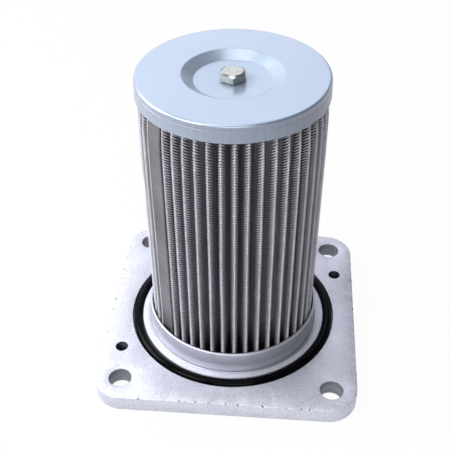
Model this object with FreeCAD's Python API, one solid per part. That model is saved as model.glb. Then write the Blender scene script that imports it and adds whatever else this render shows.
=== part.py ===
# Hydraulic suction strainer for bolting to the wall of an oil tank.
#
# A square aluminium flange plate carries a pleated wire-mesh element. Oil passes inwards through the
# pleats, through the windows of the core tube, and leaves by the round outlet in the plate. A pressed
# steel cap closes the far end. Its bolt runs into a nut on a bridge across the core tube.
#
# Frame: millimetres, +Z up along the element, origin at the centre of the plate's underside.
# Angles around the element are counted from the front, -Y, towards +X.

import FreeCAD, Part
import math
import os

from FreeCAD import Vector

# Flange plate
flange_side = 195.0
flange_thickness = 13.0
flange_corner_radius = 22.0
bolt_hole_inset = 19.0
bolt_hole_radius = 8.25
jack_hole_radius = 4.25
jack_hole_inset = 14.7
jack_hole_drop = 47.2
floor_thickness = 8.0
outlet_ledge = 3.0

# Collar that stands on the plate round the foot of the pleats
collar_height = 17.6
collar_rim_width = 1.8
collar_draft = 1.0

# Seal ring and its groove in the tank face of the plate
groove_land_width = 6.2
groove_width = 8.2
groove_depth = 5.4
ring_section = 7.0
ring_flat_width = 3.9
ring_wall_clearance = 0.1

# Pleated mesh
pleat_count = 46
pleat_outer_radius = 63.1
mesh_thickness = 0.9
mesh_length = 201.0
fold_bevel = 0.45
first_fold_angle = 6.9
bunching_angle = 1.55
bunching_from = -39.7
seam_fold = -7
seam_fold_drop = 1.1

# Seam strip that covers the pressed-down fold where the two ends of the mesh meet
strip_thickness = 0.7
strip_hem_width = 1.6
strip_left_gap = 0.4
strip_right_gap = 1.0

# Core tube
core_outer_radius = 43.0
core_wall = 1.2
core_pleat_gap = 0.2
window_rows = 4
windows_round = 6
window_width = 10.0
window_height = 30.0
window_first_height = 28.0
window_pitch = 43.0

# Adhesive beds that hold the ends of the mesh
lower_bed_depth = 10.0
upper_bed_depth = 8.3
bed_rim_clearance = 0.7

# Pressed end cap
cap_sheet = 1.2
cap_skirt_height = 12.7
cap_edge_bevel = 2.0
dish_top_radius = 33.8
dish_floor_radius = 25.9
dish_depth = 5.0
cap_hole_clearance = 0.5

# Cap bolt and its nut
bolt_radius = 5.0
bolt_length = 25.0
hex_across_flats = 16.0
bolt_head_height = 6.4
hex_chamfer_angle = 30.0
hex_chamfer_inset = 0.5
bolt_turn = 4.3
nut_turn = 30.0
nut_height = 8.0
thread_clearance = 0.05

# Bridge across the core tube
bridge_width = 24.0
bridge_thickness = 4.0
bridge_leg_height = 15.0

# Levels from the underside of the plate upwards
rim_level = flange_thickness + collar_height
mesh_bottom = floor_thickness + lower_bed_depth
mesh_top = mesh_bottom + mesh_length
cap_underside = mesh_top + upper_bed_depth
cap_top = cap_underside + cap_sheet
dish_floor_level = cap_top - dish_depth
bridge_top = dish_floor_level - cap_sheet
bridge_underside = bridge_top - bridge_thickness

# Radii that follow from the pieces that fit into each other
core_inner_radius = core_outer_radius - core_wall
outlet_radius = core_inner_radius - outlet_ledge
pleat_inner_radius = core_outer_radius + core_pleat_gap
collar_bore_radius = pleat_outer_radius + bed_rim_clearance
collar_rim_radius = collar_bore_radius + collar_rim_width
collar_foot_radius = collar_rim_radius + collar_draft
cap_inner_radius = collar_bore_radius
cap_radius = cap_inner_radius + cap_sheet
groove_inner_radius = collar_foot_radius + groove_land_width
groove_outer_radius = groove_inner_radius + groove_width
ring_centre_radius = groove_inner_radius + ring_wall_clearance + ring_section / 2
ring_centre_level = flange_thickness - groove_depth + ring_section / 2
bolt_hole_offset = flange_side / 2 - bolt_hole_inset
jack_hole_offset = flange_side / 2 - jack_hole_inset


def at_angle(radius, angle, sideways=0.0):
    """Point in plan, at a radius and an angle from the front, moved sideways along the tangent."""
    turn = math.radians(angle)
    x = radius * math.sin(turn) + sideways * math.cos(turn)
    y = -radius * math.cos(turn) + sideways * math.sin(turn)
    return Vector(x, y, 0)


def raise_up(height):
    return Vector(0, 0, height)


def ring_shape(profile):
    """Solid of revolution about Z from a closed outline of (radius, level) points."""
    points = [Vector(radius, 0, level) for radius, level in profile]
    face = Part.Face(Part.makePolygon(points + points[:1]))
    return face.revolve(Vector(), Vector(0, 0, 1), 360)


def prism(points, level, height):
    """Upright solid of a closed outline in plan."""
    outline = Part.makePolygon(points + points[:1])
    solid = Part.Face(outline).extrude(raise_up(height))
    solid.translate(raise_up(level))
    return solid


def upright_hole(radius, x, y, level, height):
    return Part.makeCylinder(radius, height, Vector(x, y, level))


def square_plate():
    """The plate's blank with rounded corners."""
    half = flange_side / 2
    blank = Part.makeBox(flange_side, flange_side, flange_thickness, Vector(-half, -half, 0))
    corners = [edge for edge in blank.Edges if abs(edge.tangentAt(edge.FirstParameter).z) > 0.5]
    return blank.makeFillet(flange_corner_radius, corners)


def flange_plate():
    """Plate, collar and land in one piece, with the seal groove, the pocket and the holes."""
    collar = ring_shape(
        [
            (collar_bore_radius, floor_thickness),
            (collar_foot_radius, floor_thickness),
            (collar_foot_radius, flange_thickness),
            (collar_rim_radius, rim_level),
            (collar_bore_radius, rim_level),
        ]
    )
    groove = ring_shape(
        [
            (groove_inner_radius, flange_thickness - groove_depth),
            (groove_outer_radius, flange_thickness - groove_depth),
            (groove_outer_radius, flange_thickness),
            (groove_inner_radius, flange_thickness),
        ]
    )
    pocket = Part.makeCylinder(collar_bore_radius, flange_thickness, raise_up(floor_thickness))
    plate = square_plate().cut(pocket).fuse(collar)
    cuts = [groove, Part.makeCylinder(outlet_radius, flange_thickness)]
    for x_side in (-1, 1):
        for y_side in (-1, 1):
            x = x_side * bolt_hole_offset
            y = y_side * bolt_hole_offset
            cuts.append(upright_hole(bolt_hole_radius, x, y, 0, flange_thickness))
        x = x_side * jack_hole_offset
        y = x_side * jack_hole_drop
        cuts.append(upright_hole(jack_hole_radius, x, y, 0, flange_thickness))
    return plate.cut(cuts).removeSplitter()


def seal_ring():
    """Rubber ring. Its round section has six flats, one of which lies on the floor of the groove."""
    half = ring_section / 2
    flat = ring_flat_width / 2
    corners = [(half, 0), (flat, half), (-flat, half), (-half, 0), (-flat, -half), (flat, -half)]
    return ring_shape([(ring_centre_radius + across, ring_centre_level + up) for across, up in corners])


def fold_angle(fold):
    """Angle of an outward fold. The folds aren't quite even: they bunch up beside the seam."""
    even = first_fold_angle + fold * 360.0 / pleat_count
    return even - bunching_angle * math.sin(math.radians(2 * (even - bunching_from)))


def fold_crest(radius, angle):
    """The four corners of an outward fold, which is two sheets wide and has its edges bevelled."""
    half = mesh_thickness
    flat = half - fold_bevel
    return [
        at_angle(radius - fold_bevel, angle, -half),
        at_angle(radius, angle, -flat),
        at_angle(radius, angle, flat),
        at_angle(radius - fold_bevel, angle, half),
    ]


def crest_radius(fold):
    """The fold under the seam strip is pressed down, and every other one reaches full size."""
    if fold == seam_fold:
        return pleat_outer_radius - seam_fold_drop
    return pleat_outer_radius


def pleated_mesh():
    """Closed zigzag sheet: each outward fold is followed by an inward one halfway to the next."""
    outer = []
    inner = []
    for fold in range(seam_fold, seam_fold + pleat_count):
        angle = fold_angle(fold)
        following = fold_angle(fold + 1)
        if fold == seam_fold + pleat_count - 1:
            following = fold_angle(seam_fold) + 360.0
        valley = (angle + following) / 2
        radius = crest_radius(fold)
        outer += fold_crest(radius, angle)
        outer.append(at_angle(pleat_inner_radius + mesh_thickness, valley))
        inner.append(at_angle(radius - mesh_thickness, angle))
        inner.append(at_angle(pleat_inner_radius, valley, -mesh_thickness))
        inner.append(at_angle(pleat_inner_radius, valley, mesh_thickness))
    faces = [Part.Face(Part.makePolygon(line + line[:1])) for line in (outer, inner)]
    sheet = faces[0].cut(faces[1]).extrude(raise_up(mesh_length))
    sheet.translate(raise_up(mesh_bottom))
    return sheet


def flank_distance(fold, neighbour):
    """How far the near side of the next fold's crest stands from the middle of a fold."""
    turn = math.radians(abs(fold_angle(neighbour) - fold_angle(fold)))
    return pleat_outer_radius * math.sin(turn) - mesh_thickness * math.cos(turn)


def seam_strip():
    """Flat strip between two folds, with a hem along its right edge, resting on the one pressed down."""
    seat = crest_radius(seam_fold)
    angle = fold_angle(seam_fold)
    left = strip_left_gap - flank_distance(seam_fold, seam_fold - 1)
    right = flank_distance(seam_fold, seam_fold + 1) - strip_right_gap
    hem = right - strip_hem_width
    face = seat + strip_thickness
    lip = face + strip_thickness
    corners = [(seat, left), (seat, right), (lip, right), (lip, hem), (face, hem), (face, left)]
    points = [at_angle(radius, angle, sideways) for radius, sideways in corners]
    return prism(points, mesh_bottom, mesh_length)


def core_tube():
    """Steel tube with punched windows in staggered rows."""
    profile = [
        (core_inner_radius, floor_thickness),
        (core_outer_radius, floor_thickness),
        (core_outer_radius, cap_underside),
        (core_inner_radius, cap_underside),
    ]
    step = 360.0 / windows_round
    punches = []
    for row in range(window_rows):
        level = window_first_height + row * window_pitch
        for place in range(windows_round):
            angle = (place + 0.5 * (row % 2)) * step
            near = core_inner_radius / 2
            far = core_outer_radius + core_wall
            outline = [
                at_angle(near, angle, -window_width / 2),
                at_angle(far, angle, -window_width / 2),
                at_angle(far, angle, window_width / 2),
                at_angle(near, angle, window_width / 2),
            ]
            punches.append(prism(outline, level, window_height))
    return ring_shape(profile).cut(punches)


def adhesive_bed(level, depth):
    """Ring of cured adhesive between the core tube and the rim around it."""
    profile = [
        (core_outer_radius, level),
        (collar_bore_radius, level),
        (collar_bore_radius, level + depth),
        (core_outer_radius, level + depth),
    ]
    return ring_shape(profile)


def end_cap():
    """Pressed cap of one sheet thickness: skirt, flat top and central dish with the bolt hole."""
    hole_radius = bolt_radius + cap_hole_clearance
    skirt_bottom = cap_top - cap_skirt_height
    outer = [
        (cap_radius, skirt_bottom),
        (cap_radius, cap_top - cap_edge_bevel),
        (cap_radius - cap_edge_bevel, cap_top),
        (dish_top_radius, cap_top),
        (dish_floor_radius, dish_floor_level),
        (hole_radius, dish_floor_level),
    ]
    inner = [
        (hole_radius, bridge_top),
        (dish_floor_radius - cap_sheet / 2, bridge_top),
        (dish_top_radius - cap_sheet / 2, cap_underside),
        (cap_inner_radius, cap_underside),
        (cap_inner_radius, skirt_bottom),
    ]
    return ring_shape(outer + inner)


def hexagon(across_flats, turn, level, height):
    """Hexagonal prism with one corner turned away from the front."""
    corner_radius = across_flats / 2 / math.cos(math.radians(30))
    points = [at_angle(corner_radius, turn + 60.0 * corner) for corner in range(6)]
    return prism(points, level, height)


def chamfer_cone(across_flats, level, height):
    """Turned cone that takes the corners off the top of a hexagon."""
    top_radius = across_flats / 2 - hex_chamfer_inset
    slope = math.tan(math.radians(hex_chamfer_angle))
    return Part.makeCone(top_radius + height / slope, top_radius, height, raise_up(level))


def cap_bolt():
    """Hexagon bolt: chamfered head on the floor of the dish, and a plain shank below."""
    head = hexagon(hex_across_flats, bolt_turn, dish_floor_level, bolt_head_height)
    head = head.common(chamfer_cone(hex_across_flats, dish_floor_level, bolt_head_height))
    shank = Part.makeCylinder(bolt_radius, bolt_length, raise_up(dish_floor_level - bolt_length))
    return head.fuse(shank).removeSplitter()


def bridge_nut():
    """Weld nut under the bridge, in line with the bolt."""
    level = bridge_underside - nut_height
    nut = hexagon(hex_across_flats, nut_turn, level, nut_height)
    return nut.cut(upright_hole(bolt_radius + thread_clearance, 0, 0, level, nut_height))


def core_bridge():
    """Strap across the core tube with its ends bent down and welded to the tube's wall."""
    reach = core_outer_radius
    half = bridge_width / 2
    under = bridge_top - bridge_leg_height
    block = Part.makeBox(2 * reach, bridge_width, bridge_leg_height, Vector(-reach, -half, under))
    block = block.common(Part.makeCylinder(core_inner_radius, bridge_leg_height, raise_up(under)))
    clear_half = math.sqrt(core_inner_radius**2 - half**2) - bridge_thickness
    clear_height = bridge_leg_height - bridge_thickness
    clear = Part.makeBox(2 * clear_half, bridge_width, clear_height, Vector(-clear_half, -half, under))
    hole = upright_hole(bolt_radius + cap_hole_clearance, 0, 0, under, bridge_leg_height)
    return block.cut([clear, hole])


pieces = {
    "flange_plate": flange_plate(),
    "seal_ring": seal_ring(),
    "lower_adhesive_bed": adhesive_bed(floor_thickness, lower_bed_depth),
    "core_tube": core_tube(),
    "pleated_mesh": pleated_mesh(),
    "seam_strip": seam_strip(),
    "upper_adhesive_bed": adhesive_bed(mesh_top, upper_bed_depth),
    "core_bridge": core_bridge(),
    "bridge_nut": bridge_nut(),
    "end_cap": end_cap(),
    "cap_bolt": cap_bolt(),
}

os.makedirs("parts", exist_ok=True)
for name, shape in pieces.items():
    shape.exportStep(f"parts/{name}.step")
    print(name, "solids", len(shape.Solids), "volume", round(shape.Volume, 1), "valid", shape.isValid())
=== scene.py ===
import math

import bmesh
import bpy
from mathutils import Matrix, Vector, noise


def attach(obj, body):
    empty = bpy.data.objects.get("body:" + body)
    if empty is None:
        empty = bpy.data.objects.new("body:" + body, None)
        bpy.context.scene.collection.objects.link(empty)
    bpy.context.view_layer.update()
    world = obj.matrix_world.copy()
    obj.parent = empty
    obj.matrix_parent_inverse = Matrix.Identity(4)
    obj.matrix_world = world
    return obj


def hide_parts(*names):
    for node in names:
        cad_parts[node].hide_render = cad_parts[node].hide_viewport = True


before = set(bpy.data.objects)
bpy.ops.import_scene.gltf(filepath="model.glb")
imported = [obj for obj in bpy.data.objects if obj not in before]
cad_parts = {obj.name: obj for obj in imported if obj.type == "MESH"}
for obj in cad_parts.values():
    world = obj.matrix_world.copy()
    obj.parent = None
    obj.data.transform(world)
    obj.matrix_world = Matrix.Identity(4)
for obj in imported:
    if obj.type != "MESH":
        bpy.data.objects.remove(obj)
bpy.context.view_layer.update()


# Flange casting. One aluminium casting, shot-blasted and then turned on its tank side: the square
# plate, the collar, the groove for the seal ring and the pocket for the element. Bolts through its
# corner holes clamp it to the tank wall.
MILLIMETRE = 0.001

# Lengths are in millimetres here and in the sections down to the table. Shader nodes take metres.
plate_side = 195.0
plate_face = 13.0
plate_corner = 22.0
plate_edge = 0.55
nick_depths = (0.35, 0.9, 1.5)
groove_outer = 81.0
groove_inner = 72.8
groove_floor = 7.6
ledge_outer = 67.9
ledge_inner = 66.7
ledge_level = 13.3
collar_foot = 66.35
collar_rim = 65.6
collar_bore = 63.8
collar_top = 30.6
burr_height = 1.3
pocket_floor = 8.0
outlet_radius = 38.8
bolt_hole_spacing = 157.0
bolt_hole_radius = 8.25
jack_hole_radius = 4.25
jack_holes = [(-82.8, -47.2), (82.8, 47.2)]
jack_thread_pitch = 1.5
jack_thread_depth = 0.6
jack_thread_turns = 8
corner_steps = 24
side_steps = 150
turning_steps = 384
bolt_hole_steps = 72
jack_hole_steps = 48


def to_linear(code):
    """Linear colour from an sRGB hex value."""
    shares = [int(code[place : place + 2], 16) / 255 for place in (1, 3, 5)]
    curved = [share / 12.92 if share <= 0.04045 else ((share + 0.055) / 1.055) ** 2.4 for share in shares]
    return (*curved, 1.0)


def add_node(tree, kind, inputs=None, stops=(), **settings):
    """Add one shader node. An input given as a node or a socket is linked, and any other is set. Stops
    are the (position, hex) colours of a ramp."""
    made = tree.nodes.new("ShaderNode" + kind)
    for name, value in settings.items():
        setattr(made, name, value)
    for name, value in (inputs or {}).items():
        if isinstance(value, bpy.types.Node):
            value = value.outputs[0]
        if isinstance(value, bpy.types.NodeSocket):
            tree.links.new(value, made.inputs[name])
        else:
            made.inputs[name].default_value = value
    if stops:
        elements = made.color_ramp.elements
        while len(elements) < len(stops):
            elements.new(1.0)
        for element, (position, code) in zip(elements, stops):
            element.position = position
            element.color = to_linear(code)
    return made


def start_material(name):
    """Empty material, its node tree, and its coordinates in metres."""
    material = bpy.data.materials.new(name)
    material.use_nodes = True
    material.node_tree.nodes.clear()
    place = add_node(material.node_tree, "TexCoord").outputs["Object"]
    return material, material.node_tree, place


def finish_material(tree, inputs):
    """Join the surface shader to the output."""
    surface = add_node(tree, "BsdfPrincipled", inputs)
    add_node(tree, "OutputMaterial", {"Surface": surface})


def add_piece(name, points, faces, material, slot, replaced=(), flat=(), crease=32.0, patches=()):
    """Object from points in millimetres. Edges sharper than the crease angle stay sharp. Patches are
    (material, first face, last face) runs that have another finish."""
    mesh = bpy.data.meshes.new(name)
    mesh.from_pydata([Vector(point) * MILLIMETRE for point in points], [], faces)
    mesh.validate()
    mesh.polygons.foreach_set("use_smooth", [index not in flat for index in range(len(mesh.polygons))])
    mesh.set_sharp_from_angle(angle=math.radians(crease))
    mesh.materials.append(material)
    for number, (finish, first, last) in enumerate(patches, 1):
        mesh.materials.append(finish)
        for index in range(first, last):
            mesh.polygons[index].material_index = number
    made = bpy.data.objects.new(name, mesh)
    bpy.context.scene.collection.objects.link(made)
    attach(made, "root")
    if replaced:
        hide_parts(*replaced)
    return made


def circle(radius, level, steps, centre=(0.0, 0.0)):
    turns = [2 * math.pi * step / steps for step in range(steps)]
    return [
        (centre[0] + radius * math.cos(turn), centre[1] + radius * math.sin(turn), level) for turn in turns
    ]


def skin_loops(points, faces, loops, closed=False):
    """Quads between closed loops of equal length. Returns the loops' point numbers."""
    numbers = []
    for loop in loops:
        numbers.append(list(range(len(points), len(points) + len(loop))))
        points.extend(loop)
    pairs = list(zip(numbers, numbers[1:]))
    if closed:
        pairs.append((numbers[-1], numbers[0]))
    for lower, upper in pairs:
        count = len(lower)
        for step in range(count):
            after = (step + 1) % count
            faces.append((lower[step], lower[after], upper[after], upper[step]))
    return numbers


def plate_outline(inset, level, nick_depth=0.0):
    """Rounded square. Nicks eat into it here and there, as handling does to a soft edge: long ones every
    few millimetres, roughened by short ones."""
    radius = plate_corner - inset
    middle = plate_side / 2 - plate_corner
    outline = []
    for corner in range(4):
        start = math.radians(90 * corner)
        x = middle * (1 if corner in (0, 3) else -1)
        y = middle * (1 if corner in (0, 1) else -1)
        for step in range(corner_steps + 1):
            turn = start + math.radians(90) * step / corner_steps
            outline.append(Vector((x + radius * math.cos(turn), y + radius * math.sin(turn), level)))
        end = start + math.radians(90)
        along = Vector((math.cos(end + math.pi / 2), math.sin(end + math.pi / 2), 0))
        last = outline[-1].copy()
        for step in range(1, side_steps):
            outline.append(last + along * (2 * middle) * step / side_steps)
    if nick_depth:
        for point in outline:
            long_bite = noise.noise(Vector((point.x * 0.45, point.y * 0.45, 3.0)))
            short_bite = noise.noise(Vector((point.x * 1.3, point.y * 1.3, 8.0)))
            inward = -Vector((point.x, point.y, 0)).normalized()
            point += inward * nick_depth * max(0.0, long_bite + 0.6 * short_bite - 0.12)
    return [tuple(point) for point in outline]


# The plate's edge, from the underside up. Its nicks get deeper towards the face.
casting_points = []
casting_faces = []
edge_loops = skin_loops(
    casting_points,
    casting_faces,
    [
        plate_outline(plate_edge, 0.0),
        plate_outline(plate_edge * 0.3, plate_edge * 0.3),
        plate_outline(0.0, plate_edge),
        plate_outline(0.0, plate_face - plate_edge * 1.1, nick_depths[0]),
        plate_outline(plate_edge * 0.3, plate_face - plate_edge * 0.35, nick_depths[1]),
        plate_outline(plate_edge, plate_face, nick_depths[2]),
    ],
)

# The turned outline, as (radius, level) points. It runs from the groove's outer edge inwards, over the
# land to the low ledge at the collar's foot, up the collar, down its bore, across the pocket and down
# the outlet. The ledge lies between two fine grooves, which the tool left where it stopped.
groove_outline = [
    (groove_outer + 0.35, plate_face),
    (groove_outer + 0.05, plate_face - 0.15),
    (groove_outer, plate_face - 0.5),
    (groove_outer, groove_floor + 0.7),
    (groove_outer - 0.2, groove_floor + 0.2),
    (groove_outer - 0.7, groove_floor),
    (groove_inner + 0.7, groove_floor),
    (groove_inner + 0.2, groove_floor + 0.2),
    (groove_inner, groove_floor + 0.7),
    (groove_inner, plate_face - 0.45),
    (groove_inner - 0.3, plate_face - 0.05),
    (groove_inner - 0.5, plate_face),
]
ledge_outline = [
    (ledge_outer + 0.45, plate_face),
    (ledge_outer + 0.3, plate_face - 0.25),
    (ledge_outer + 0.05, plate_face - 0.25),
    (ledge_outer, ledge_level - 0.15),
    (ledge_outer - 0.15, ledge_level),
    (ledge_inner + 0.15, ledge_level),
    (ledge_inner, ledge_level - 0.15),
    (ledge_inner - 0.05, plate_face - 0.3),
    (ledge_inner - 0.3, plate_face - 0.3),
]
collar_outline = [
    (collar_foot, ledge_level),
    (collar_foot - 0.25, plate_face + 7.0),
    (collar_rim + 0.05, collar_top - 1.6),
    (collar_rim, collar_top - 0.7),
    (collar_rim - 0.25, collar_top - 0.25),
    (collar_rim - 0.7, collar_top),
    (collar_bore + 0.4, collar_top),
    (collar_bore + 0.1, collar_top - 0.15),
    (collar_bore, collar_top - 0.5),
    (collar_bore, pocket_floor + 0.4),
    (collar_bore - 0.4, pocket_floor),
    (outlet_radius + 0.4, pocket_floor),
    (outlet_radius, pocket_floor - 0.4),
    (outlet_radius, 0.5),
    (outlet_radius + 0.5, 0.0),
]


def burred(loop):
    """Spread and lower the collar's rim where the turning left specks of burr."""
    ragged = []
    for x, y, z in loop:
        speck = burr_height * max(0.0, noise.noise(Vector((x * 0.55, y * 0.55, 1.0))) - 0.38)
        spread = 1 + 0.6 * speck / math.hypot(x, y)
        ragged.append((x * spread, y * spread, z - 0.4 * speck))
    return ragged


turned_loops = []
for radius, level in groove_outline + ledge_outline + collar_outline:
    loop = circle(radius, level, turning_steps)
    on_rim = radius > collar_bore + 0.2 and level > collar_top - 1.1
    turned_loops.append(burred(loop) if on_rim else loop)
turned_start = len(casting_faces)
turned_numbers = skin_loops(casting_points, casting_faces, turned_loops)
turned_end = len(casting_faces)
land_start = turned_start + (len(groove_outline) - 1) * turning_steps
land_end = land_start + turning_steps

top_rims = [edge_loops[-1], turned_numbers[0]]
bottom_rims = [edge_loops[0], turned_numbers[-1]]


def cut_hole(centre, radius, outline, steps):
    """Wall of a hole through the plate. The outline is in (extra radius, level) points from the top."""
    loops = [circle(radius + extra, level, steps, centre) for extra, level in outline]
    numbers = skin_loops(casting_points, casting_faces, loops)
    top_rims.append(numbers[0])
    bottom_rims.append(numbers[-1])


bolt_hole_outline = [
    (0.55, plate_face),
    (0.15, plate_face - 0.15),
    (0.0, plate_face - 0.5),
    (0.0, 0.5),
    (0.5, 0.0),
]
drilled_start = len(casting_faces)
for x in (-bolt_hole_spacing / 2, bolt_hole_spacing / 2):
    for y in (-bolt_hole_spacing / 2, bolt_hole_spacing / 2):
        cut_hole((x, y), bolt_hole_radius, bolt_hole_outline, bolt_hole_steps)

jack_hole_outline = [(0.6, plate_face), (0.1, plate_face - 0.5)]
for turn in range(jack_thread_turns):
    level = plate_face - 0.9 - jack_thread_pitch * turn
    jack_hole_outline += [(0.0, level), (jack_thread_depth, level - jack_thread_pitch / 2)]
jack_hole_outline += [(0.0, 0.4), (0.4, 0.0)]
thread_start = len(casting_faces)
for centre in jack_holes:
    cut_hole(centre, jack_hole_radius, jack_hole_outline, jack_hole_steps)


def fill_between(points, rims):
    """Triangles of a level face between closed rims, the outermost of which bounds it."""
    sheet = bmesh.new()
    numbers = []
    drawn = []
    for rim in rims:
        corners = [sheet.verts.new(points[number]) for number in rim]
        numbers += rim
        drawn += [sheet.edges.new((corners[step - 1], corners[step])) for step in range(len(corners))]
    sheet.verts.index_update()
    bmesh.ops.triangle_fill(sheet, use_beauty=True, use_dissolve=False, edges=drawn)
    filled = [tuple(numbers[corner.index] for corner in face.verts) for face in sheet.faces]
    sheet.free()
    return filled


level_start = len(casting_faces)
casting_faces += fill_between(casting_points, top_rims)
casting_faces += fill_between(casting_points, bottom_rims)

# Cast aluminium A356, shot-blasted: a pale silver with a fine sparkle, and chips along its upper edge,
# whose dark colour is a painted shade of their pits. A pattern's scale is a thousand over its width in
# millimetres, here and below. The grit's dents are about 0.3 mm across and are drawn 0.9 mm across, so
# that they show. A Mix node's colours are its inputs 6 and 7, and its mixed colour is output 2.
mixed = {"data_type": "RGBA", "blend_type": "MIX"}
multiplied = {"data_type": "RGBA", "blend_type": "MULTIPLY"}

casting_material, tree, place = start_material("shot_blasted_aluminium")
grit = add_node(tree, "TexNoise", {"Vector": place, "Scale": 1100.0, "Detail": 3.0})
clouds = add_node(tree, "TexNoise", {"Vector": place, "Scale": 60.0, "Detail": 4.0})
silver = add_node(tree, "ValToRGB", {"Fac": grit}, [(0.32, "#BEC0CD"), (0.5, "#CFD1DD"), (0.68, "#E1E2E8")])
tone = add_node(tree, "ValToRGB", {"Fac": clouds}, [(0.3, "#F2F2F5"), (0.7, "#FFFFFF")])
blasted = add_node(tree, "Mix", {0: 1.0, 6: silver, 7: tone}, **multiplied).outputs[2]
dents = add_node(tree, "Bump", {"Height": grit, "Strength": 0.7, "Distance": 0.0004})
axes = add_node(tree, "SeparateXYZ", {"Vector": place})
reach_x = add_node(tree, "Math", {0: axes.outputs["X"]}, operation="ABSOLUTE")
reach_y = add_node(tree, "Math", {0: axes.outputs["Y"]}, operation="ABSOLUTE")
reach = add_node(tree, "Math", {0: reach_x, 1: reach_y}, operation="MAXIMUM")
side_reach = {
    "From Min": (plate_side / 2 - 1.7) * MILLIMETRE,
    "From Max": (plate_side / 2 - 0.7) * MILLIMETRE,
}
near_side = add_node(tree, "MapRange", {"Value": reach, **side_reach})
top_reach = {"From Min": (plate_face - 1.2) * MILLIMETRE, "From Max": (plate_face - 0.6) * MILLIMETRE}
near_top = add_node(tree, "MapRange", {"Value": axes.outputs["Z"], **top_reach})
knocks = add_node(tree, "TexNoise", {"Vector": place, "Scale": 330.0, "Detail": 4.0})
knocked = add_node(tree, "MapRange", {"Value": knocks, "From Min": 0.59, "From Max": 0.66})
near_edge = add_node(tree, "Math", {0: near_side, 1: near_top}, operation="MULTIPLY")
# The chips are painted dark: a painted shade of the pits that handling knocked into the edge.
shaded_chips = add_node(tree, "Math", {0: near_edge, 1: knocked}, operation="MULTIPLY")
chipped_and_shaded = add_node(tree, "Mix", {0: shaded_chips, 6: blasted, 7: to_linear("#42464F")}, **mixed).outputs[2]
finish_material(tree, {"Base Color": chipped_and_shaded, "Metallic": 0.6, "Roughness": 0.46, "Normal": dents})

# Turned aluminium: the collar and the groove. The tool leaves a satin that mirrors its neighbours
# softly, so the collar is nearly white on the side of the lamps and slate grey on the other. Its rings
# would be about 0.1 mm apart and are drawn 0.7 mm apart, so that they show.
turned_material, tree, place = start_material("turned_aluminium")
rings_place = add_node(tree, "Mapping", {"Vector": place, "Scale": (0.0, 0.0, 1.0)})
rings = add_node(tree, "TexNoise", {"Vector": rings_place, "Scale": 1500.0})
satin = add_node(tree, "ValToRGB", {"Fac": rings}, [(0.3, "#B8BAC4"), (0.7, "#C4C6CF")])
finish_material(tree, {"Base Color": satin, "Metallic": 0.85, "Roughness": 0.41})

# Drilled aluminium: the walls of the bolt holes. Drill marks, drawn 0.8 mm apart, make them a broken mid
# grey, darker than the metal itself: a painted shade of the hole.
drilled_material, tree, place = start_material("drilled_aluminium")
marks_place = add_node(tree, "Mapping", {"Vector": place, "Scale": (0.05, 0.05, 1.0)})
marks = add_node(tree, "TexNoise", {"Vector": marks_place, "Scale": 1200.0})
scored_and_shaded = add_node(tree, "ValToRGB", {"Fac": marks}, [(0.3, "#74777F"), (0.7, "#989BA2")])
finish_material(tree, {"Base Color": scored_and_shaded, "Metallic": 0.6, "Roughness": 0.5})

# Tapped aluminium: the threads of the jack holes, painted nearly black as the shade deep in the holes.
thread_material, tree, place = start_material("shaded_thread")
finish_material(tree, {"Base Color": to_linear("#33353A"), "Metallic": 0.6, "Roughness": 0.5})

add_piece(
    "flange_casting",
    casting_points,
    casting_faces,
    casting_material,
    "cast_aluminium",
    replaced=["flange_plate"],
    flat=set(range(level_start, len(casting_faces))),
    patches=[
        (turned_material, turned_start, land_start),
        (turned_material, land_end, turned_end),
        (drilled_material, drilled_start, thread_start),
        (thread_material, thread_start, level_start),
    ],
)


# Seal ring. A moulded nitrile rubber ring of 7 mm section that lies in the plate's groove, a little
# proud of it, and is squeezed against the tank wall. Its skin is smooth and black, with a dull shine.
ring_centre = 76.4
ring_level = 11.1
ring_half = 3.5
ring_sides = 32
ring_steps = 256

ring_points = []
ring_faces = []
ring_loops = []
for side in range(ring_sides):
    turn = 2 * math.pi * side / ring_sides
    radius = ring_centre + ring_half * math.cos(turn)
    ring_loops.append(circle(radius, ring_level + ring_half * math.sin(turn), ring_steps))
skin_loops(ring_points, ring_faces, ring_loops, closed=True)

# Moulded nitrile rubber: black, smooth and dull. A bloom in clouds 8 mm wide breaks its shine a little.
rubber_material, tree, place = start_material("black_nitrile_rubber")
bloom = add_node(tree, "TexNoise", {"Vector": place, "Scale": 120.0, "Detail": 5.0})
rubber = add_node(tree, "ValToRGB", {"Fac": bloom}, [(0.35, "#030406"), (0.7, "#07080B")])
skin = add_node(tree, "Bump", {"Height": bloom, "Strength": 0.1, "Distance": 0.0003})
finish_material(tree, {"Base Color": rubber, "Roughness": 0.12, "Specular IOR Level": 0.05, "Normal": skin})
add_piece("rubber_ring", ring_points, ring_faces, rubber_material, "black_rubber", ["seal_ring"])


# Adhesive beds. Epoxy poured into the plate's pocket and into the cap, where it sets round the ends
# of the pleats. It is dark and has the dull shine of a cast resin.
def dress_node(name, material):
    """Finish a solid that is shown as it comes from the frame."""
    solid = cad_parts[name].data
    solid.materials.clear()
    solid.materials.append(material)


# Cast epoxy: dark grey, with ripples 11 mm long where it flowed before it set.
adhesive_material, tree, place = start_material("cured_epoxy")
flow = add_node(tree, "TexNoise", {"Vector": place, "Scale": 90.0, "Detail": 3.0})
resin = add_node(tree, "ValToRGB", {"Fac": flow}, [(0.3, "#26272A"), (0.7, "#35363A")])
ripple = add_node(tree, "Bump", {"Height": flow, "Strength": 0.3, "Distance": 0.0006})
finish_material(tree, {"Base Color": resin, "Roughness": 0.45, "Normal": ripple})
dress_node("lower_adhesive_bed", adhesive_material)
dress_node("upper_adhesive_bed", adhesive_material)


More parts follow.
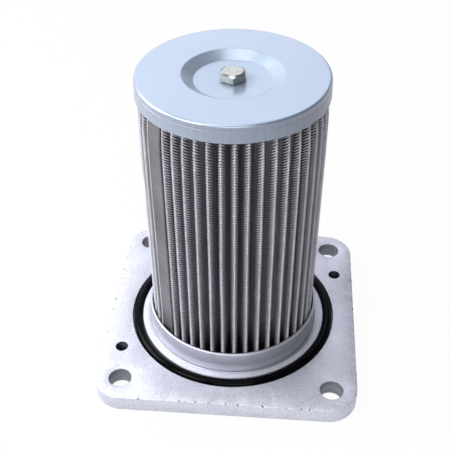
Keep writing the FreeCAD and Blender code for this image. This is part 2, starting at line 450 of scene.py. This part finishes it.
# Core tube and bridge. The tube is punched steel sheet, rolled and welded, and the bridge is a strap
# welded across it. Both are zinc plated: a grey metal with a rolling grain, drawn 1 mm wide, that runs
# up the tube.
core_material, tree, place = start_material("zinc_plated_sheet")
grain_place = add_node(tree, "Mapping", {"Vector": place, "Scale": (1.0, 1.0, 0.08)})
grain = add_node(tree, "TexNoise", {"Vector": grain_place, "Scale": 900.0})
zinc = add_node(tree, "ValToRGB", {"Fac": grain}, [(0.3, "#8E9094"), (0.7, "#B9BBBE")])
finish_material(tree, {"Base Color": zinc, "Metallic": 1.0, "Roughness": 0.4})
dress_node("core_tube", core_material)
dress_node("core_bridge", core_material)


# Pleated mesh. Stainless wire cloth folded into pleats: a coarse weave over a fine filter cloth. The
# stout wires round the element run in and out of every fold, and pleating has dragged them down the
# flanks. Thin wires along the folds hold them together.
pleat_count = 46
first_fold = 6.9
bunching = 1.55
bunching_from = -39.7
sway_angle = 0.45
seam_fold = -7
seam_drop = 1.1
cloth_bottom = 18.0
cloth_top = 219.0
crest_radius = 63.1
crest_bend = 1.0
valley_radius = 43.2
sheet_thickness = 0.9
flank_swell = 0.8
swell_place = 0.2
near_share = 0.18
far_share = 0.5
most_bulge = 1.1
bulge_start = 40.0
bulge_rise = 130.0
bulge_fall = 14.0
cap_grip = 3.5
round_wire_radius = 0.45
round_wire_pitch = 2.06
round_wire_sides = 5
round_wire_wander = 0.35
flank_drag = 4.5
drag_reach = 2.0
drag_start = 14.0
crest_wire_radius = 0.32
crest_wire_sink = 0.25
long_wire_radius = 0.22
long_wire_sides = 6
long_wire_steps = 15
fine_cloth_lift = -0.4
fine_cloth_sink = 0.8
fine_cloth_steps = 24


def fold_angle(fold):
    """Place of a fold round the element. The folds are bunched on two sides."""
    even = first_fold + fold * 360 / pleat_count
    return even - bunching * math.sin(math.radians(2 * (even - bunching_from)))


def at_angle(radius, angle, sideways=0.0):
    """Plan point at an angle in degrees from the front, which grows towards the right."""
    turn = math.radians(angle)
    return Vector(
        (
            radius * math.sin(turn) + sideways * math.cos(turn),
            -radius * math.cos(turn) + sideways * math.sin(turn),
        )
    )


def crest_angle(fold, level):
    """Folds stand nearly straight. Each one but the seam's sways by a few tenths of a millimetre on its
    way up."""
    share = (level - cloth_bottom) / (cloth_top - cloth_bottom)
    sway = noise.noise(Vector((fold * 3.7, level * 0.014, 5.0))) * math.sin(math.pi * min(1, max(0, share)))
    wrapped = (fold - seam_fold) % pleat_count + seam_fold
    if wrapped == seam_fold:
        sway = 0.0
    return fold_angle(wrapped) + (360.0 if fold > wrapped else 0.0) + sway * sway_angle


def swollen(crest_side, valley_side, share, outward, widest):
    """Point on a flank. The cloth is stiff, so a fold stands wider just behind its crest."""
    swell = widest * share / swell_place * math.exp(1 - share / swell_place)
    return crest_side.lerp(valley_side, share) + outward * swell


def bulge(level):
    """How far the crests stand out where the cap and the collar don't hold them."""
    rise = min(1.0, max(0.0, (level - bulge_start) / bulge_rise))
    fall = min(1.0, (cloth_top - cap_grip - level) / bulge_fall)
    return most_bulge * rise * max(0.0, fall)


def fold_path(fold, level, lift, sink=0.0):
    """The twelve points across one fold at a level: two on the flank before its crest, five over the
    crest, two on the flank after it and three round the valley. Lift is towards the outside, and sink
    draws the crest and the swollen flanks in."""
    angle = crest_angle(fold, level)
    valley = (angle + crest_angle(fold + 1, level)) / 2
    before = (angle + crest_angle(fold - 1, level)) / 2
    crest = crest_radius + bulge(level) - (seam_drop if fold == seam_fold else 0.0) - sink
    bend = crest_bend + lift
    pivot = crest - sheet_thickness / 2 - crest_bend
    tip = []
    for turn in (-75, -40, 0, 40, 75):
        lean = math.radians(turn)
        tip.append(at_angle(pivot + bend * math.cos(lean), angle, bend * math.sin(lean)))
    bend = sheet_thickness / 2 - lift
    pivot = valley_radius + sheet_thickness
    root = []
    for turn in (-75, 0, 75):
        lean = math.radians(turn)
        root.append(at_angle(pivot - bend * math.cos(lean), valley, bend * math.sin(lean)))
    last_root = at_angle(pivot, before, bend)
    sideways = at_angle(0.0, angle, 1.0)
    near = flank_swell - 0.7 * sink
    far = flank_swell + 0.5 * sink
    return [
        swollen(tip[0], last_root, far_share, -sideways, far),
        swollen(tip[0], last_root, near_share, -sideways, near),
        *tip,
        swollen(tip[-1], root[0], near_share, sideways, near),
        swollen(tip[-1], root[0], far_share, sideways, far),
        *root,
    ]


def cloth_ring(level, lift, sink=0.0):
    """Points (x, y, fold) round the element at a level."""
    ring = []
    for fold in range(seam_fold, seam_fold + pleat_count):
        ring += [(x, y, fold) for x, y in fold_path(fold, level, lift, sink)]
    return ring


def dragged(x, y, level, fold):
    """Height of a round wire at a plan point: it falls away from the crest and evens out below."""
    depth = max(0.0, crest_radius + bulge(level) - sheet_thickness / 2 - math.hypot(x, y))
    drop = flank_drag * (1 - math.exp(-depth / drag_reach)) * min(1.0, (level - cloth_bottom) / drag_start)
    wander = noise.noise(Vector(((fold - seam_fold) * 5.3, level * 0.05, 1.0)))
    return max(level - drop + round_wire_wander * wander, cloth_bottom + round_wire_radius)


def add_wire(points, faces, course, radius, sides, closed):
    """Wire of round section along a course of points. A closed one has no ends."""
    count = len(course)
    start = len(points)
    for step, spot in enumerate(course):
        ahead = course[(step + 1) % count] if closed or step + 1 < count else spot
        behind = course[step - 1] if closed or step else spot
        along = (ahead - behind).normalized()
        guide = Vector((0, 0, 1)) if abs(along.z) < 0.9 else Vector((1, 0, 0))
        across = along.cross(guide).normalized()
        upward = across.cross(along)
        for side in range(sides):
            turn = 2 * math.pi * side / sides
            points.append(tuple(spot + radius * (math.cos(turn) * across + math.sin(turn) * upward)))
    for step in range(count if closed else count - 1):
        here = start + sides * step
        there = start + sides * ((step + 1) % count)
        for side in range(sides):
            after = (side + 1) % sides
            faces.append((here + side, here + after, there + after, there + side))


def shade_near_collar(tree, place):
    """Painted shade of the collar: a tint that goes dark towards it."""
    height = add_node(tree, "SeparateXYZ", {"Vector": place}).outputs["Z"]
    reach = {"From Min": (collar_top - 1.6) * MILLIMETRE, "From Max": (collar_top + 23.4) * MILLIMETRE}
    above = add_node(tree, "MapRange", {"Value": height, **reach})
    return add_node(tree, "ValToRGB", {"Fac": above}, [(0.0, "#5A5856"), (1.0, "#FFFFFF")])


def distance_from_axis(tree, place):
    axes = add_node(tree, "SeparateXYZ", {"Vector": place})
    level_place = add_node(tree, "CombineXYZ", {"X": axes.outputs["X"], "Y": axes.outputs["Y"]})
    return add_node(tree, "VectorMath", {0: level_place}, operation="LENGTH").outputs["Value"]


def flank_shade(tree, place):
    """Tint of a wire: white at the crests and greyer down the flanks, a painted shade of the valleys."""
    reach = {"From Min": (crest_radius - 3.4) * MILLIMETRE, "From Max": (crest_radius - 1.3) * MILLIMETRE}
    on_crest = add_node(tree, "MapRange", {"Value": distance_from_axis(tree, place), **reach})
    flank = {0: 1.0, 6: shade_near_collar(tree, place), 7: to_linear("#AEACB2")}
    shaded_flank = add_node(tree, "Mix", flank, **multiplied).outputs[2]
    return add_node(tree, "Mix", {0: on_crest, 6: shaded_flank, 7: to_linear("#FFFFFF")}, **mixed).outputs[2]


# Stainless wire, drawn bright and dulled by weaving and handling: a light steel grey that wanders in
# clouds 22 mm wide, with flecks of 1.4 mm. The flanks are greyer than the crests, a painted shade of
# the pleat valleys, and darkest just above the collar, a painted shade of the collar.
wire_material, tree, place = start_material("woven_stainless_wire")
wander = add_node(tree, "TexNoise", {"Vector": place, "Scale": 45.0, "Detail": 4.0})
speckle = add_node(tree, "TexNoise", {"Vector": place, "Scale": 700.0, "Detail": 2.0})
steel = add_node(tree, "ValToRGB", {"Fac": wander}, [(0.3, "#CECDD4"), (0.7, "#E0DFE8")])
fleck = add_node(tree, "ValToRGB", {"Fac": speckle}, [(0.35, "#CFCFCF"), (0.65, "#FFFFFF")])
bright = add_node(tree, "Mix", {0: 1.0, 6: steel, 7: fleck}, **multiplied).outputs[2]
dulled_and_shaded = add_node(tree, "Mix", {0: 1.0, 6: bright, 7: flank_shade(tree, place)}, **multiplied).outputs[2]
finish_material(tree, {"Base Color": dulled_and_shaded, "Metallic": 0.15, "Roughness": 0.38})

mesh_piece = {"slot": "steel_wire_cloth", "replaced": ["pleated_mesh"], "crease": 70.0}
rows = int((cloth_top - cloth_bottom - 1.0) / round_wire_pitch) + 1
quarters = [rows * share // 4 for share in range(5)]
for name, first, last in zip(("lowest", "lower", "upper", "highest"), quarters, quarters[1:]):
    wire_points = []
    wire_faces = []
    for row in range(first, last):
        level = cloth_bottom + 0.5 + round_wire_pitch * row
        course = [Vector((x, y, dragged(x, y, level, fold))) for x, y, fold in cloth_ring(level, 0.0)]
        add_wire(wire_points, wire_faces, course, round_wire_radius, round_wire_sides, closed=True)
    add_piece(f"round_wires_{name}", wire_points, wire_faces, wire_material, **mesh_piece)

# Thin wires along the folds: one at the crest, and the others spread over both flanks.
long_points = []
long_faces = []
for fold in range(seam_fold, seam_fold + pleat_count):
    columns = [[] for _ in range(7)]
    for step in range(long_wire_steps + 1):
        level = cloth_bottom + (cloth_top - cloth_bottom) * step / long_wire_steps
        path = fold_path(fold, level, 0.0)
        crest, before, after, root, valley = path[4], path[0], path[8], path[9], path[10]
        spots = [crest * (1 - crest_wire_sink / crest_radius), after, before, valley]
        spots += [after.lerp(root, share) for share in (0.33, 0.67, 1.0)]
        for column, spot in zip(columns, spots):
            column.append(Vector((spot.x, spot.y, level)))
    for number, column in enumerate(columns):
        radius = long_wire_radius if number else crest_wire_radius
        add_wire(long_points, long_faces, column, radius, long_wire_sides, closed=False)
add_piece("long_wires", long_points, long_faces, wire_material, **mesh_piece)

# Fine filter cloth under the coarse one. Its threads are 0.1 mm apart, and their grain is drawn 0.7 mm
# wide. The cloth is grey down the flanks, and nearly black behind the crests, where it stands in the
# shade of the coarse wires.
fine_points = []
fine_faces = []
fine_loops = []
for step in range(fine_cloth_steps + 1):
    level = cloth_bottom + (cloth_top - cloth_bottom) * step / fine_cloth_steps
    fine_loops.append([(x, y, level) for x, y, _ in cloth_ring(level, fine_cloth_lift, fine_cloth_sink)])
skin_loops(fine_points, fine_faces, fine_loops)

fine_material, tree, place = start_material("fine_filter_cloth")
threads = add_node(tree, "TexNoise", {"Vector": place, "Scale": 1500.0, "Detail": 2.0})
flank_grey = add_node(tree, "ValToRGB", {"Fac": threads}, [(0.3, "#C8C6CB"), (0.7, "#DAD8DE")])
reach = {"From Min": (crest_radius - 6.6) * MILLIMETRE, "From Max": (crest_radius - 4.6) * MILLIMETRE}
near_crest = add_node(tree, "MapRange", {"Value": distance_from_axis(tree, place), **reach})
shaded = add_node(tree, "Mix", {0: near_crest, 6: flank_grey, 7: to_linear("#151417")}, **mixed).outputs[2]
# The cloth also darkens towards the collar: a painted shade of the collar.
cloth = add_node(tree, "Mix", {0: 1.0, 6: shaded, 7: shade_near_collar(tree, place)}, **multiplied).outputs[2]
finish_material(tree, {"Base Color": cloth, "Metallic": 0.1, "Roughness": 0.5})
add_piece("filter_cloth", fine_points, fine_faces, fine_material, **mesh_piece)


# Seam strip. Thin rolled steel strip, tacked over the pressed-down fold where the two ends of the
# cloth meet. One edge is folded back on itself as a hem. It is nearly smooth, and browner than the wire.
strip_seat = crest_radius - seam_drop
strip_gauge = 0.7
strip_left = -7.15
strip_right = 6.75
hem_edge = 5.15
strip_steps = 40
strip_outline = [
    (0.0, strip_left),
    (0.0, strip_right - 0.25),
    (strip_gauge / 2, strip_right),
    (strip_gauge + 0.3, strip_right),
    (strip_gauge + 0.6, strip_right - 0.15),
    (2 * strip_gauge, strip_right - 0.45),
    (2 * strip_gauge, hem_edge + 0.45),
    (2 * strip_gauge - 0.15, hem_edge + 0.15),
    (strip_gauge + 0.1, hem_edge),
    (strip_gauge, hem_edge - 0.2),
    (strip_gauge, strip_left + 0.25),
    (strip_gauge - 0.25, strip_left),
]

strip_points = []
strip_faces = []
strip_loops = []
for step in range(strip_steps + 1):
    level = cloth_bottom + (cloth_top - cloth_bottom) * step / strip_steps
    sway = 0.18 * noise.noise(Vector((0.0, level * 0.03, 2.0)))
    loop = []
    for out, sideways in strip_outline:
        x, y = at_angle(strip_seat + bulge(level) + out, fold_angle(seam_fold), sideways + sway)
        loop.append((x, y, level))
    strip_loops.append(loop)
strip_numbers = skin_loops(strip_points, strip_faces, strip_loops)
strip_faces.append(tuple(reversed(strip_numbers[0])))
strip_faces.append(tuple(strip_numbers[-1]))

# Rolled steel, uncoated: a dark grey with stains 30 mm wide and a tarnish in specks of 1 mm.
strip_material, tree, place = start_material("rolled_steel_strip")
stain = add_node(tree, "TexNoise", {"Vector": place, "Scale": 35.0, "Detail": 5.0})
tarnish = add_node(tree, "TexNoise", {"Vector": place, "Scale": 900.0, "Detail": 2.0})
stained = add_node(tree, "ValToRGB", {"Fac": stain}, [(0.3, "#656266"), (0.7, "#807D82")])
fleck = add_node(tree, "ValToRGB", {"Fac": tarnish}, [(0.3, "#D0D0D0"), (0.7, "#FFFFFF")])
rolled = add_node(tree, "Mix", {0: 1.0, 6: stained, 7: fleck}, **multiplied).outputs[2]
# The strip darkens towards the collar: a painted shade of the collar.
shaded_strip = add_node(tree, "Mix", {0: 1.0, 6: rolled, 7: shade_near_collar(tree, place)}, **multiplied).outputs[2]
finish_material(tree, {"Base Color": shaded_strip, "Metallic": 0.6, "Roughness": 0.5})
add_piece("seam_cover", strip_points, strip_faces, strip_material, "strip_steel", ["seam_strip"])


# End cap. Steel sheet 1.2 mm thick, pressed to a shallow cup with a dish in the middle, and enamelled
# pale blue. Presses leave soft radii at every bend, and the enamel pulls smooth over them.
cap_radius = 65.0
skirt_radius = 64.85
skirt_foot = 215.8
face_level = 228.5
rim_bend = 1.9
dish_floor = 223.5
dish_slope = 32.3
dish_mouth = 34.6
mouth_bend = 1.85
dish_foot = 25.8
foot_bend = 1.215
cap_gauge = 1.2
cap_inside = 63.8
cap_hole = 5.5
cap_steps = 256


def bend(centre, radius, first, last, steps):
    """Points of a bend from one angle to another, in degrees from the outward direction."""
    turns = [math.radians(first + (last - first) * step / steps) for step in range(steps + 1)]
    return [(centre[0] + radius * math.cos(turn), centre[1] + radius * math.sin(turn)) for turn in turns]


# The outline, as (radius, level) points: up the skirt from its flared foot, past a fine groove and over
# the face to the dish and the hole, and back along the inside. A point just off each end of a straight
# stretch keeps it straight to the eye.
into_dish = bend((dish_mouth, face_level - mouth_bend), mouth_bend, 90, 90 + dish_slope, 3)
onto_floor = bend((dish_foot, dish_floor + foot_bend), foot_bend, 270 + dish_slope, 270, 2)
cap_outline = [
    (cap_radius - 0.02, skirt_foot + 1.1),
    (skirt_radius, skirt_foot + 1.5),
    (skirt_radius, face_level - 4.9),
    (skirt_radius - 0.03, face_level - 4.6),
    (skirt_radius - 0.23, face_level - 4.4),
    (skirt_radius - 0.23, face_level - 4.15),
    (skirt_radius - 0.13, face_level - 3.9),
    *bend((skirt_radius - 0.13 - rim_bend, face_level - rim_bend), rim_bend, 0, 90, 5),
    (skirt_radius - 2.75, face_level),
    (dish_mouth + 0.3, face_level),
    *into_dish,
    Vector(into_dish[-1]).lerp(Vector(onto_floor[0]), 0.05),
    Vector(into_dish[-1]).lerp(Vector(onto_floor[0]), 0.95),
    *onto_floor,
    (dish_foot - 0.3, dish_floor),
    (cap_hole + 0.5, dish_floor),
    (cap_hole, dish_floor - 0.2),
    (cap_hole, dish_floor - cap_gauge),
    (dish_foot - 0.2, dish_floor - cap_gauge),
    (dish_foot + 0.8, dish_floor - 0.9),
    (dish_mouth - 1.6, face_level - 1.7),
    (dish_mouth - 0.7, face_level - 1.25),
    (dish_mouth + 0.2, face_level - cap_gauge),
    (cap_inside - 1.4, face_level - cap_gauge),
    (cap_inside - 0.4, face_level - 1.6),
    (cap_inside, face_level - 2.5),
    (cap_inside, skirt_foot + 0.15),
    (cap_inside + 0.15, skirt_foot),
    (cap_radius - 0.3, skirt_foot),
    (cap_radius, skirt_foot + 0.25),
    (cap_radius, skirt_foot + 0.7),
]
cap_points = []
cap_faces = []
cap_loops = [circle(radius, level, cap_steps) for radius, level in cap_outline]
skin_loops(cap_points, cap_faces, cap_loops, closed=True)

# Baked enamel on steel: a smooth pale blue film with a soft gloss, glossiest over the outer bend, where
# it has pulled thin. The skirt is greyer, a painted shade of the upright side, with faint draw lines
# along its depth, 2.4 mm apart. A few grains of dust about 1 mm across lie on it, at most one to a 13 mm
# cell.
enamel_material, tree, place = start_material("pale_blue_enamel")
cloud = add_node(tree, "TexNoise", {"Vector": place, "Scale": 14.0, "Detail": 3.0})
enamel = add_node(tree, "ValToRGB", {"Fac": cloud}, [(0.35, "#9DACBF"), (0.65, "#A3B0C3")])
draw_place = add_node(tree, "Mapping", {"Vector": place, "Scale": (1.0, 1.0, 0.03)})
draw_lines = add_node(tree, "TexNoise", {"Vector": draw_place, "Scale": 420.0})
# The skirt's greyer colour is a painted shade of the upright side, with the draw lines in it.
shaded_draw_lines = add_node(tree, "ValToRGB", {"Fac": draw_lines}, [(0.25, "#848B99"), (0.6, "#8A92A0")])
distance = distance_from_axis(tree, place)
reach = {"From Min": (cap_radius - 0.7) * MILLIMETRE, "From Max": (cap_radius - 0.35) * MILLIMETRE}
on_skirt = add_node(tree, "MapRange", {"Value": distance, **reach})
reach = {"From Min": (cap_radius - 3.0) * MILLIMETRE, "From Max": cap_radius * MILLIMETRE}
across_bend = add_node(tree, "MapRange", {"Value": distance, **reach})
bend_stops = [(0.15, "#000000"), (0.4, "#FFFFFF"), (0.86, "#FFFFFF"), (0.9, "#000000")]
on_bend = add_node(tree, "ValToRGB", {"Fac": across_bend}, bend_stops)
flat_sheen = add_node(tree, "MapRange", {"Value": on_skirt, "To Min": 0.5, "To Max": 0.15})
sheen = add_node(tree, "MapRange", {"Value": on_bend, "To Min": flat_sheen, "To Max": 0.65})
gloss = add_node(tree, "MapRange", {"Value": on_bend, "To Min": 0.36, "To Max": 0.31})
skirted = add_node(tree, "Mix", {0: on_skirt, 6: enamel, 7: shaded_draw_lines}, **mixed).outputs[2]
grains = add_node(tree, "TexVoronoi", {"Vector": place, "Scale": 75.0}, feature="F1")
off_grain = add_node(tree, "MapRange", {"Value": grains, "From Min": 0.03, "From Max": 0.05})
dusty = add_node(tree, "Mix", {0: off_grain, 6: to_linear("#5E6A80"), 7: skirted}, **mixed).outputs[2]
peel = add_node(tree, "TexNoise", {"Vector": place, "Scale": 260.0, "Detail": 2.0})
film = add_node(tree, "Bump", {"Height": peel, "Strength": 0.06, "Distance": 0.0004})
finish_material(
    tree,
    {
        "Base Color": dusty,
        "Metallic": sheen,
        "Roughness": gloss,
        "Specular IOR Level": 0.2,
        "Coat Weight": 0.5,
        "Coat Roughness": 0.2,
        "Normal": film,
    },
)
add_piece("pressed_cap", cap_points, cap_faces, enamel_material, "blue_enamel", ["end_cap"], crease=40.0)


# Cap bolt and bridge nut. A cold-headed M10 bolt, zinc plated a bright, faintly warm silver. The top of
# its head is turned to a flat disc with a 30 degree chamfer, and a round washer face stands under it.
# It runs into the weld nut.
head_half = 8.0
head_bottom = dish_floor
head_top = 229.9
head_disc = 6.9
head_corner = 4.3
head_steps = 120
chamfer_slope = math.tan(math.radians(30))
washer_height = 0.8
washer_radius = 6.7
shank_bottom = 198.5
shank_steps = 48
thread_crest = 5.0
thread_root = 4.4
thread_pitch = 1.5


def hexagon_radius(turn):
    """Distance from the axis to a hexagon's side, with its corners eased."""
    from_corner = abs((turn - head_corner + 30) % 60 - 30)
    from_middle = min(30 - from_corner, 29.0)
    return head_half / math.cos(math.radians(from_middle))


def side_top(turn):
    """Where a side of the head ends at the chamfer, which cuts its corners lowest."""
    radius = hexagon_radius(turn)
    return (*at_angle(radius, turn), head_top - (radius - head_disc) * chamfer_slope)


head_turns = [360 * step / head_steps for step in range(head_steps)]
side_tops = [side_top(turn) for turn in head_turns]
bolt_points = []
bolt_faces = []
head_numbers = skin_loops(
    bolt_points,
    bolt_faces,
    [
        [(*at_angle(head_disc - 0.25, turn), head_top) for turn in head_turns],
        [(*at_angle(head_disc, turn), head_top - 0.1) for turn in head_turns],
        side_tops,
        [(x, y, head_bottom + washer_height + 0.2) for x, y, _ in side_tops],
        [(x * 0.985, y * 0.985, head_bottom + washer_height) for x, y, _ in side_tops],
        [(*at_angle(washer_radius, turn), head_bottom + washer_height) for turn in head_turns],
        [(*at_angle(washer_radius, turn), head_bottom) for turn in head_turns],
    ],
)
bolt_faces.append(tuple(head_numbers[0]))
bolt_faces.append(tuple(reversed(head_numbers[-1])))

level = head_bottom - 1.0
thread_loops = [circle(thread_crest, head_bottom, shank_steps), circle(thread_crest, level, shank_steps)]
while level - thread_pitch > shank_bottom + 1.0:
    thread_loops.append(circle(thread_root, level - 0.6 * thread_pitch, shank_steps))
    thread_loops.append(circle(thread_crest, level - thread_pitch, shank_steps))
    level -= thread_pitch
thread_loops.append(circle(thread_crest - 0.8, shank_bottom, shank_steps))
shank_numbers = skin_loops(bolt_points, bolt_faces, thread_loops)
bolt_faces.append(tuple(reversed(shank_numbers[-1])))

# Bright zinc plating: silver with a faint warmth. Spanner and fingers have left dull spots 2 mm wide.
bolt_material, tree, place = start_material("bright_zinc_plating")
handling = add_node(tree, "TexNoise", {"Vector": place, "Scale": 500.0, "Detail": 5.0})
plating = add_node(tree, "ValToRGB", {"Fac": handling}, [(0.3, "#979893"), (0.7, "#B5B5B1")])
gloss = add_node(tree, "MapRange", {"Value": handling, "To Min": 0.14, "To Max": 0.24})
scuffs = add_node(tree, "Bump", {"Height": handling, "Strength": 0.1, "Distance": 0.0003})
finish_material(tree, {"Base Color": plating, "Metallic": 0.95, "Roughness": gloss, "Normal": scuffs})
add_piece(
    "hexagon_bolt", bolt_points, bolt_faces, bolt_material, "zinc_plated_steel", ["cap_bolt"], crease=25.0
)
dress_node("bridge_nut", bolt_material)


# Table. White to the camera and in reflections, and a soft grey to the light that it throws back up.
# It keeps the part's soft shadow. Lengths are in metres from here on.
floor_mesh = bpy.data.meshes.new("table")
floor_mesh.from_pydata([(-20, -20, 0), (20, -20, 0), (20, 20, 0), (-20, 20, 0)], [], [(0, 1, 2, 3)])
floor = bpy.data.objects.new("table", floor_mesh)
bpy.context.scene.collection.objects.link(floor)


def seen_directly(tree):
    """One for camera, glossy and transmission rays, and zero for the rest."""
    rays = add_node(tree, "LightPath").outputs
    mirrored = {0: rays["Is Glossy Ray"], 1: rays["Is Transmission Ray"]}
    either = add_node(tree, "Math", mirrored, operation="MAXIMUM")
    return add_node(tree, "Math", {0: rays["Is Camera Ray"], 1: either}, operation="MAXIMUM")


table_material, tree, place = start_material("white_table")
paper = add_node(tree, "BsdfDiffuse", {"Color": to_linear("#CCCED4")})
glow = add_node(tree, "Emission", {"Color": to_linear("#FFFFFF"), "Strength": 1.0})
white_share = add_node(tree, "Math", {0: seen_directly(tree), 1: 0.96}, operation="MULTIPLY")
surface = add_node(tree, "MixShader", {"Fac": white_share, 1: paper, 2: glow})
add_node(tree, "OutputMaterial", {"Surface": surface})
floor_mesh.materials.append(table_material)


# Light. Soft boxes on the left, in front, above and at the back, and a room that is pale at the back
# and on the left, and dark on the right and at the front. Seen directly or in a reflection, the white
# of the table goes on past the horizon and fades into the room above it.
lamp_aim = Vector((0.0, 0.0, 0.1))


def add_soft_box(name, place, size, power, code="#FFFFFF"):
    lamp = bpy.data.lights.new(name, "AREA")
    lamp.shape = "RECTANGLE"
    lamp.size, lamp.size_y = size
    lamp.energy = power
    lamp.color = to_linear(code)[:3]
    box = bpy.data.objects.new(name, lamp)
    bpy.context.scene.collection.objects.link(box)
    box.location = place
    box.rotation_euler = (lamp_aim - Vector(place)).to_track_quat("-Z", "Y").to_euler()


add_soft_box("left_soft_box", (-1.2, 0.2, 0.9), (0.9, 0.9), 19.5)
add_soft_box("low_left_soft_box", (-1.4, -0.1, 0.45), (0.6, 0.6), 4.0)
add_soft_box("front_left_soft_box", (-0.85, -0.85, 1.0), (0.7, 0.7), 13.0)
add_soft_box("front_soft_box", (0.1, -1.29, 0.72), (0.9, 0.7), 7.0)
add_soft_box("back_soft_box", (-0.3, 1.2, 1.1), (1.3, 1.0), 4.0, "#F4F7FF")
add_soft_box("top_soft_box", (-0.2, -0.1, 1.8), (1.0, 1.0), 9.0)

world = bpy.data.worlds.new("studio")
bpy.context.scene.world = world
world.use_nodes = True
tree = world.node_tree
tree.nodes.clear()
direction = add_node(tree, "TexCoord").outputs["Generated"]
axes = add_node(tree, "SeparateXYZ", {"Vector": direction}).outputs
leftwards = {"Value": axes["X"], "From Min": -0.8, "From Max": 0.8, "To Min": 0.28, "To Max": 0.0}
from_left = add_node(tree, "MapRange", leftwards)
backwards = {"Value": axes["Y"], "From Min": 0.1, "From Max": 0.85, "To Max": 0.76}
from_back = add_node(tree, "MapRange", backwards)
rightwards = {"Value": axes["X"], "From Max": 0.7, "To Min": 1.0, "To Max": 0.2}
off_right = add_node(tree, "MapRange", rightwards)
back_wall = add_node(tree, "Math", {0: from_back, 1: off_right}, operation="MULTIPLY")
room_light = add_node(tree, "Math", {0: from_left, 1: back_wall}, operation="ADD")
downwards = {"Value": axes["Z"], "From Min": 0.12, "From Max": 0.3, "To Min": 1.0, "To Max": 0.0}
near_horizon = add_node(tree, "MapRange", downwards)
backdrop = add_node(tree, "Math", {0: seen_directly(tree), 1: near_horizon}, operation="MULTIPLY")
light_level = add_node(tree, "MapRange", {"Value": backdrop, "To Min": room_light, "To Max": 1.09})
room = add_node(tree, "Background", {"Color": to_linear("#F1F3FA"), "Strength": light_level})
add_node(tree, "OutputWorld", {"Surface": room})
bpy.context.scene.view_settings.view_transform = "Standard"


# Camera. Above and in front of the part and a little to its right, where the photograph was taken. Its
# place, lens and slight roll were worked out from the plate's edges and the rims of the part.
camera_place = Vector((0.03546, -0.4749, 0.4889))
looking = Vector((-0.0673, 0.7724, -0.6316)).normalized()
camera_roll = math.radians(-0.42)
level_right = looking.cross(Vector((0, 0, 1))).normalized()
level_up = level_right.cross(looking)
right = math.cos(camera_roll) * level_right + math.sin(camera_roll) * level_up
up = right.cross(looking)
camera_data = bpy.data.cameras.new("camera")
camera_data.lens = 65.87
camera_data.sensor_width = 36.0
camera_data.clip_start = 0.01
camera = bpy.data.objects.new("camera", camera_data)
bpy.context.scene.collection.objects.link(camera)
camera.matrix_world = Matrix.Translation(camera_place) @ Matrix((right, up, -looking)).transposed().to_4x4()
bpy.context.scene.camera = camera
